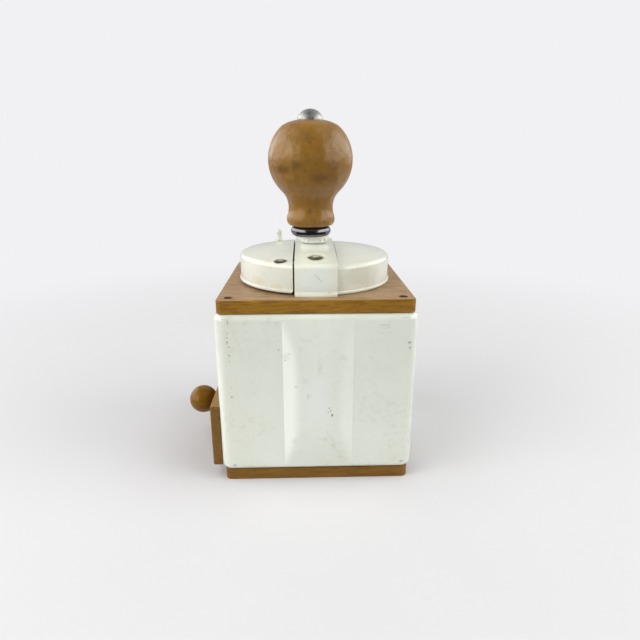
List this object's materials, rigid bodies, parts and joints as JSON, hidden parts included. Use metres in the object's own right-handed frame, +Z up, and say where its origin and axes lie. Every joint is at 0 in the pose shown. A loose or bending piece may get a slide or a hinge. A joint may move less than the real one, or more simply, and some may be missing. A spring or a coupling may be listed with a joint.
{
  "type": "manual coffee grinder",
  "caption": "Box coffee grinder with a hand crank, a conical burr mill under a drum cover with a swing lid, an embossed enamelled case between beech plates, and a drawer.",
  "frame": {"origin": "centre of the beech base's underside, on the surface that the grinder stands on", "axes": "+Z up; the drawer opens towards -X; -Y is the side that the crank rests over and the picture shows; +X away from the drawer"},
  "size_m": [0.1562, 0.1739, 0.221],
  "materials": {
    "enamel": "glossy cream-grey enamel, worn at the corners",
    "beech": "waxed beech, darkened with age",
    "stained_beech": "varnished turned wood with a handled sheen",
    "plated_steel": "nickel-bright plating, slightly dulled",
    "plain_steel": "plain steel, dulled",
    "cast_iron": "dark casting with ground faces",
    "bronze": "plain turned bushes"
  },
  "bodies": {
    "frame": {"base_plate": "beech", "body_shell": "enamel", "corner_post_front_left": "beech", "corner_post_front_right": "beech", "corner_post_back_left": "beech", "corner_post_back_right": "beech", "top_plate": "beech", "top_plate_screws": "plain_steel", "base_screws": "plain_steel", "drawer_guide_front": "beech", "drawer_guide_back": "beech", "hopper_funnel": "plain_steel", "fixed_cover": "enamel", "bridge_strap": "enamel", "bridge_spacers": "plain_steel", "bridge_screws": "plain_steel", "top_bearing": "bronze", "burr_housing": "cast_iron", "outer_burr": "cast_iron", "lower_bridge": "cast_iron", "lower_bridge_screws": "plain_steel", "lower_bearing": "bronze", "lid_pivot_post": "plain_steel", "lid_pivot_screw": "plain_steel"},
    "lid": {"swing_lid": "enamel", "lid_pin": "enamel"},
    "drawer": {"drawer_front": "beech", "drawer_side_front": "beech", "drawer_side_back": "beech", "drawer_back": "beech", "drawer_bottom": "beech", "drawer_knob": "beech", "drawer_knob_screw": "plain_steel"},
    "rotor": {"thrust_washer": "plain_steel"},
    "adjuster": {"adjusting_nut": "plated_steel"},
    "spindle": {"spindle": "plain_steel", "inner_burr": "cast_iron", "burr_nut": "plain_steel", "crank_arm": "enamel", "crank_nut": "plated_steel", "knob_bolt": "plated_steel", "spindle_spring": "plain_steel"},
    "knob": {"knob_wood": "stained_beech", "knob_ferrule": "plated_steel"}
  },
  "joints": [
    {"name": "crank_turn", "type": "hinge", "parent": "frame", "child": "rotor", "pos_m": [0, 0, 0.1455], "axis": [0, 0, 1], "continuous": true},
    {"name": "grind_setting", "type": "slide", "parent": "rotor", "child": "spindle", "axis": [0, 0, 1], "range_m": [-0.0005, 0.0005], "deforming": ["spindle_spring"]},
    {"name": "adjuster_turn", "type": "hinge", "parent": "rotor", "child": "adjuster", "pos_m": [0, 0, 0.149], "axis": [0, 0, 1], "range_deg": [-180, 180]},
    {"name": "knob_spin", "type": "hinge", "parent": "spindle", "child": "knob", "pos_m": [-0.00346, -0.09003, 0.19], "axis": [0, 0, 1], "continuous": true},
    {"name": "lid_swing", "type": "hinge", "parent": "frame", "child": "lid", "pos_m": [-0.0213, -0.0393, 0.14], "axis": [0, 0, 1], "range_deg": [0, 90]},
    {"name": "drawer_slide", "type": "slide", "parent": "frame", "child": "drawer", "axis": [-1, 0, 0], "range_m": [0, 0.085]}
  ],
  "couplings": [
    {"joint": "adjuster_turn", "follows": "grind_setting", "rad_per_m": 6283.2}
  ]
}
